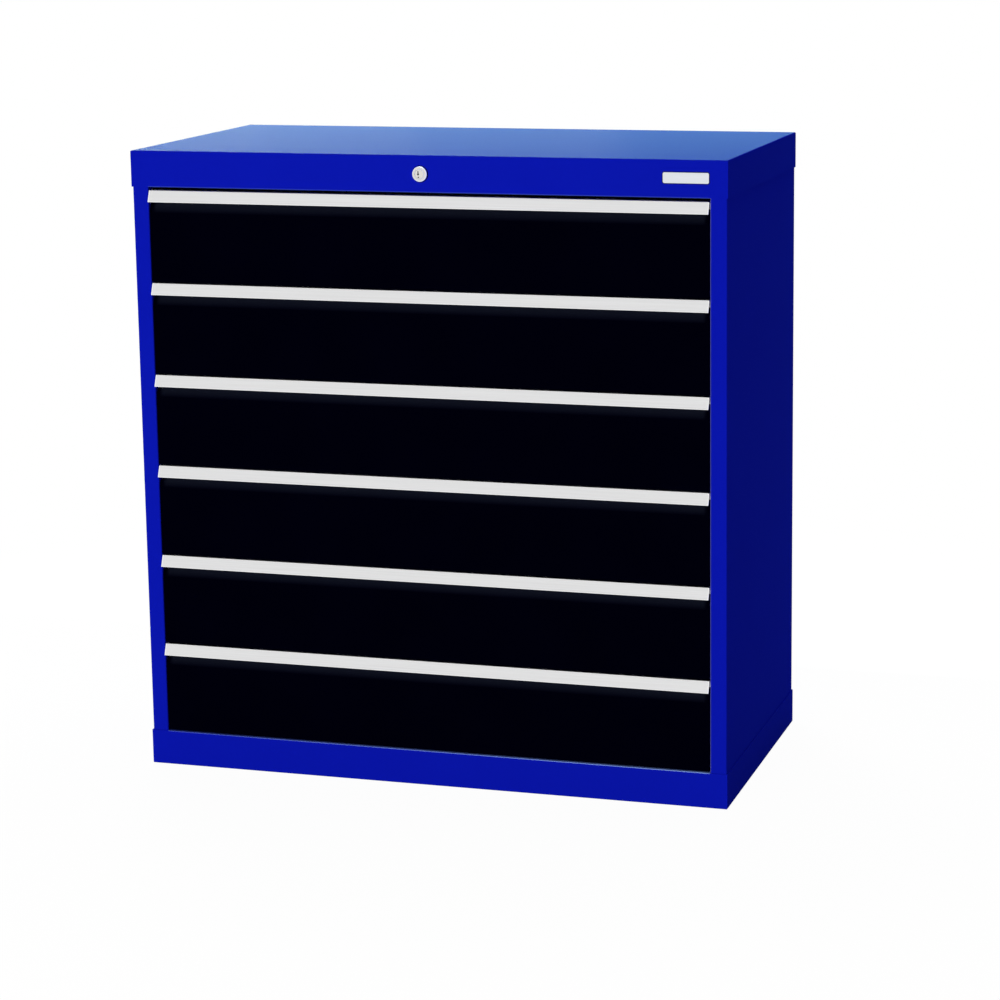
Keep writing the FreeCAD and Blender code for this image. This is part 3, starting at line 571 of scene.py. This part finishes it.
def lathe(drawing, profile, axis):
    """A closed profile of radii and depths, turned about an axis, given by its x and z."""
    rings = [ring(drawing, circle(axis, radius, LOCK_STEPS), depth) for radius, depth in profile]
    for near, far in zip(rings, rings[1:] + rings[:1]):
        skin(drawing, near, far)
    bmesh.ops.recalc_face_normals(drawing, faces=drawing.faces)


def lock_bezel(axis, cap_face, sleeve_end):
    """Bezel with a rounded rim, and its sleeve through the cap."""
    face = cap_face - BEZEL_DEPTH
    bore = CORE_RADIUS + CORE_PLAY
    profile = [(bore, face + BEZEL_ROUND), (bore, face + CORE_SUNK), (bore + CORE_SUNK, face)]
    for i in range(RIM_STEPS + 1):
        angle = math.radians(90 * i / RIM_STEPS)
        profile.append((BEZEL_RADIUS - BEZEL_ROUND * (1 - math.sin(angle)),
                        face + BEZEL_ROUND * (1 - math.cos(angle))))
    profile += [(BEZEL_RADIUS, cap_face), (CASE_RADIUS, cap_face)]
    profile += [(CASE_RADIUS, sleeve_end), (bore, sleeve_end)]
    drawing = bmesh.new()
    lathe(drawing, profile, axis)
    bezel = mesh_piece("lock_bezel", "cabinet", "nickel_plated_lock", drawing)
    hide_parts("lock_case")


# A black ring round the bezel, which stands in for its shadow
def lock_shadow_ring(axis, cap_face):
    reach = BEZEL_RADIUS + SHADOW_BORDER_REACH
    front = cap_face - SHADOW_BORDER_THICK
    drawing = bmesh.new()
    profile = [(CASE_RADIUS, cap_face), (CASE_RADIUS, front), (reach, front), (reach, cap_face)]
    lathe(drawing, profile, axis)
    mesh_piece("lock_shadow_ring", "cabinet", "black_powder_coat", drawing)


def face_holes(axis, grow=0):
    """Outlines of the core's two holes: the keyhole, which is a round eye with a slot above it and
    can be grown by a margin, and the hole that frees the core."""
    radius = KEYHOLE_RADIUS + grow
    half = KEYHOLE_HALF + grow
    corner = math.degrees(math.acos(half / radius))
    keyhole = arc(KEYHOLE_EYE, radius, corner, -180 - 2 * corner, EYE_STEPS)
    keyhole += arc((KEYHOLE_EYE[0], KEYHOLE_TOP - KEYHOLE_HALF), half, 180, -180, SLOT_STEPS)
    release = circle(RELEASE_EYE, RELEASE_RADIUS, RELEASE_STEPS)
    return [[(axis[0] + x, axis[1] + z) for x, z in outline] for outline in (keyhole, release)]


def lock_core(axis, front):
    """Turning core: its face with two holes, its barrel and the tang that carries the cam."""
    drawing = bmesh.new()
    rim = circle(axis, CORE_RADIUS - CORE_CHAMFER, LOCK_STEPS)
    outlines = [ring(drawing, points, front) for points in [rim] + face_holes(axis)]
    edges = []
    for outline in outlines:
        for a, b in zip(outline, outline[1:] + outline[:1]):
            edges.append(drawing.edges.new((a, b)))
    bmesh.ops.triangle_fill(drawing, use_beauty=True, edges=edges)
    for hole in outlines[1:]:
        skin(drawing, hole, deeper(drawing, hole, KEYWAY_DEPTH))
    cam_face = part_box("lock_cam")[0].y
    tang_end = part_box("lock_plug")[1].y
    near = outlines[0]
    for radius, depth in ((CORE_RADIUS, front + CORE_CHAMFER), (CORE_RADIUS, cam_face),
                          (TANG_RADIUS, cam_face), (TANG_RADIUS, tang_end)):
        far = ring(drawing, circle(axis, radius, LOCK_STEPS), depth)
        skin(drawing, near, far)
        near = far
    drawing.faces.new(near)
    core = mesh_piece("lock_core", "lock", "nickel_plated_lock", drawing)
    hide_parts("lock_plug")


def keyhole_shade_plug(axis, front):
    """Dark pieces behind the core's face, which close its holes and stand in for the shade inside them.
    """
    drawing = bmesh.new()
    for points in face_holes(axis, SHADE_PLUG_REACH):
        near = ring(drawing, points, front)
        far = deeper(drawing, near, SHADE_PLUG_THICK)
        drawing.faces.new(near)
        drawing.faces.new(far[::-1])
        skin(drawing, near, far)
    bmesh.ops.recalc_face_normals(drawing, faces=drawing.faces)
    # Painted shade: the dark plug in the keyhole
    mesh_piece("keyhole_shade_plug", "lock", "black_powder_coat", drawing)


def lock_pieces():
    """The lock's pieces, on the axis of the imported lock."""
    low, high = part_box("lock_case")
    axis = ((low.x + high.x) / 2, (low.z + high.z) / 2)
    cap_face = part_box("top_cover")[0].y
    core_face = cap_face - BEZEL_DEPTH + CORE_SUNK
    lock_bezel(axis, cap_face, high.y)
    lock_shadow_ring(axis, cap_face)
    lock_core(axis, core_face)
    keyhole_shade_plug(axis, core_face + KEYWAY_DEPTH)


def tablet(drawing, middle, size, corner, depths):
    """A tablet with rounded corners. At each depth its outline is drawn in by an inset."""
    rings = []
    for inset, depth in depths:
        points = []
        for quarter, (right, up) in enumerate(((1, 1), (-1, 1), (-1, -1), (1, -1))):
            x = middle[0] + right * (size[0] / 2 - corner)
            z = middle[1] + up * (size[1] / 2 - corner)
            points += arc((x, z), corner - inset, 90 * quarter, 90, CORNER_STEPS)
        rings.append(ring(drawing, points, depth))
    for near, far in zip(rings, rings[1:]):
        skin(drawing, near, far)
    drawing.faces.new(rings[-1])
    drawing.faces.new(rings[0][::-1])
    bmesh.ops.recalc_face_normals(drawing, faces=drawing.faces)


def cap_plate():
    """Bare plate on the cap with a small rounded edge, and the black pad round it, which stands in for
    its shadow.
    """
    low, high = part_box("name_plate")
    middle = ((low.x + high.x) / 2 + PLATE_SHIFT[0], (low.z + high.z) / 2 + PLATE_SHIFT[1])
    face = high.y - PLATE_THICK
    soft = 0.3 * PLATE_EDGE
    drawing = bmesh.new()
    tablet(drawing, middle, PLATE_SIZE, PLATE_ROUND,
           ((0, high.y), (0, face + PLATE_EDGE), (soft, face + soft), (PLATE_EDGE, face)))
    plate = mesh_piece("cap_plate", "cabinet", "bare_plate", drawing)
    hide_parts("name_plate")
    # Black pad round the plate, which stands in for its shadow
    drawing = bmesh.new()
    size = [side + 2 * SHADOW_BORDER_REACH for side in PLATE_SIZE]
    tablet(drawing, middle, size, PLATE_ROUND + SHADOW_BORDER_REACH, ((0, high.y), (0, high.y - SHADOW_BORDER_THICK)))
    mesh_piece("plate_shadow_pad", "cabinet", "black_powder_coat", drawing)


def rivet(drawing, place, base):
    """Domed head of a rivet at the back. Its rings turn clockwise, so that its faces look outwards."""
    rings = []
    for share, rise in RIVET_DOME:
        points = circle(place, RIVET_RADIUS * share, RIVET_STEPS, RIVET_START, -360)
        rings.append(ring(drawing, points, base + RIVET_HEIGHT * rise))
    for low, high in zip(rings, rings[1:]):
        skin(drawing, low, high)
    top = drawing.verts.new((place[0], base + RIVET_HEIGHT, place[1]))
    last = rings[-1]
    for a, b in zip(last, last[1:] + last[:1]):
        drawing.faces.new((a, b, top))


def back_rivets():
    """Rivets that hold the back panel, on the rear folds of the side panels."""
    low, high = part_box("side_panel_left")
    length = high.z - low.z - 2 * RIVET_MARGIN
    count = round(length / RIVET_PITCH) + 1
    drawing = bmesh.new()
    for side in (-1, 1):
        for i in range(count):
            z = low.z + RIVET_MARGIN + i * length / (count - 1)
            rivet(drawing, (side * (abs(low.x) - RIVET_INSET), z), high.y)
    mesh_piece("back_rivets", "cabinet", "zinc_plated_steel", drawing)


finish_nodes()
studio_world()
studio_floor()
studio_lamps()
studio_scrim()
studio_camera()
lock_pieces()
cap_plate()
back_rivets()

bpy.context.scene.view_settings.view_transform = "Standard"
